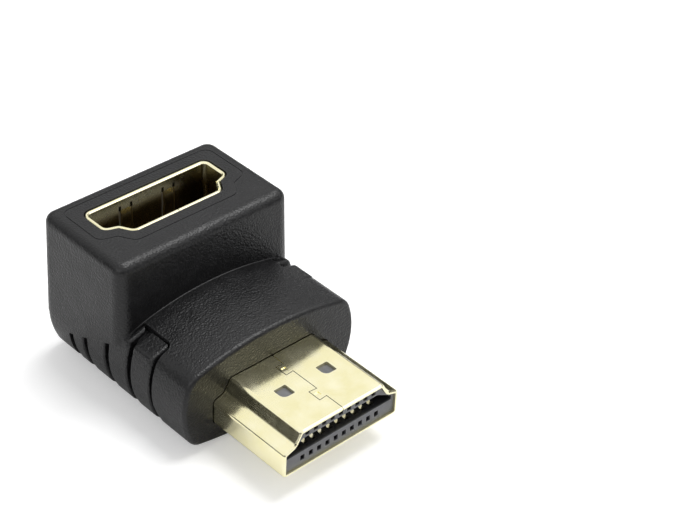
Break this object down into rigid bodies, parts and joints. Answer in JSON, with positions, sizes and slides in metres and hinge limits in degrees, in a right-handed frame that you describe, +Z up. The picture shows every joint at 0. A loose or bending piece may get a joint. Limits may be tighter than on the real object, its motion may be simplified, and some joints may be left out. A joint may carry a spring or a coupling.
{
  "type": "right angle video adapter",
  "caption": "Right angle adapter with a D-shaped gold plug in front, a D-shaped socket on top, a black moulded body with grip ribs and a bare oval recess below.",
  "frame": {"origin": "bottom centre of the whole adapter's bounding box, on the lowest line of its shallow belly", "axes": "+X across the plug, +Y from the plug's tip to the rear of the body, +Z up out of the socket"},
  "size_m": [0.0208, 0.031, 0.0161],
  "materials": {
    "overmould": "fine matte",
    "inner_mould": "natural",
    "circuit_board": "satin",
    "gold_shell": "gold plated",
    "insulator": "satin",
    "contact": "gold plated"
  },
  "bodies": {
    "root": {"overmould": "overmould", "inner_mould": "inner_mould", "circuit_board": "circuit_board", "plug_shell": "gold_shell", "plug_insulator": "insulator", "plug_spacer": "insulator", "plug_contact_01": "contact", "plug_contact_02": "contact", "plug_contact_03": "contact", "plug_contact_04": "contact", "plug_contact_05": "contact", "plug_contact_06": "contact", "plug_contact_07": "contact", "plug_contact_08": "contact", "plug_contact_09": "contact", "plug_contact_10": "contact", "plug_contact_11": "contact", "plug_contact_12": "contact", "plug_contact_13": "contact", "plug_contact_14": "contact", "plug_contact_15": "contact", "plug_contact_16": "contact", "plug_contact_17": "contact", "plug_contact_18": "contact", "plug_contact_19": "contact", "socket_shell": "gold_shell", "socket_insulator": "insulator", "socket_contact_01": "contact", "socket_contact_02": "contact", "socket_contact_03": "contact", "socket_contact_04": "contact", "socket_contact_05": "contact", "socket_contact_06": "contact", "socket_contact_07": "contact", "socket_contact_08": "contact", "socket_contact_09": "contact", "socket_contact_10": "contact", "socket_contact_11": "contact", "socket_contact_12": "contact", "socket_contact_13": "contact", "socket_contact_14": "contact", "socket_contact_15": "contact", "socket_contact_16": "contact", "socket_contact_17": "contact", "socket_contact_18": "contact", "socket_contact_19": "contact"}
  },
  "joints": []
}
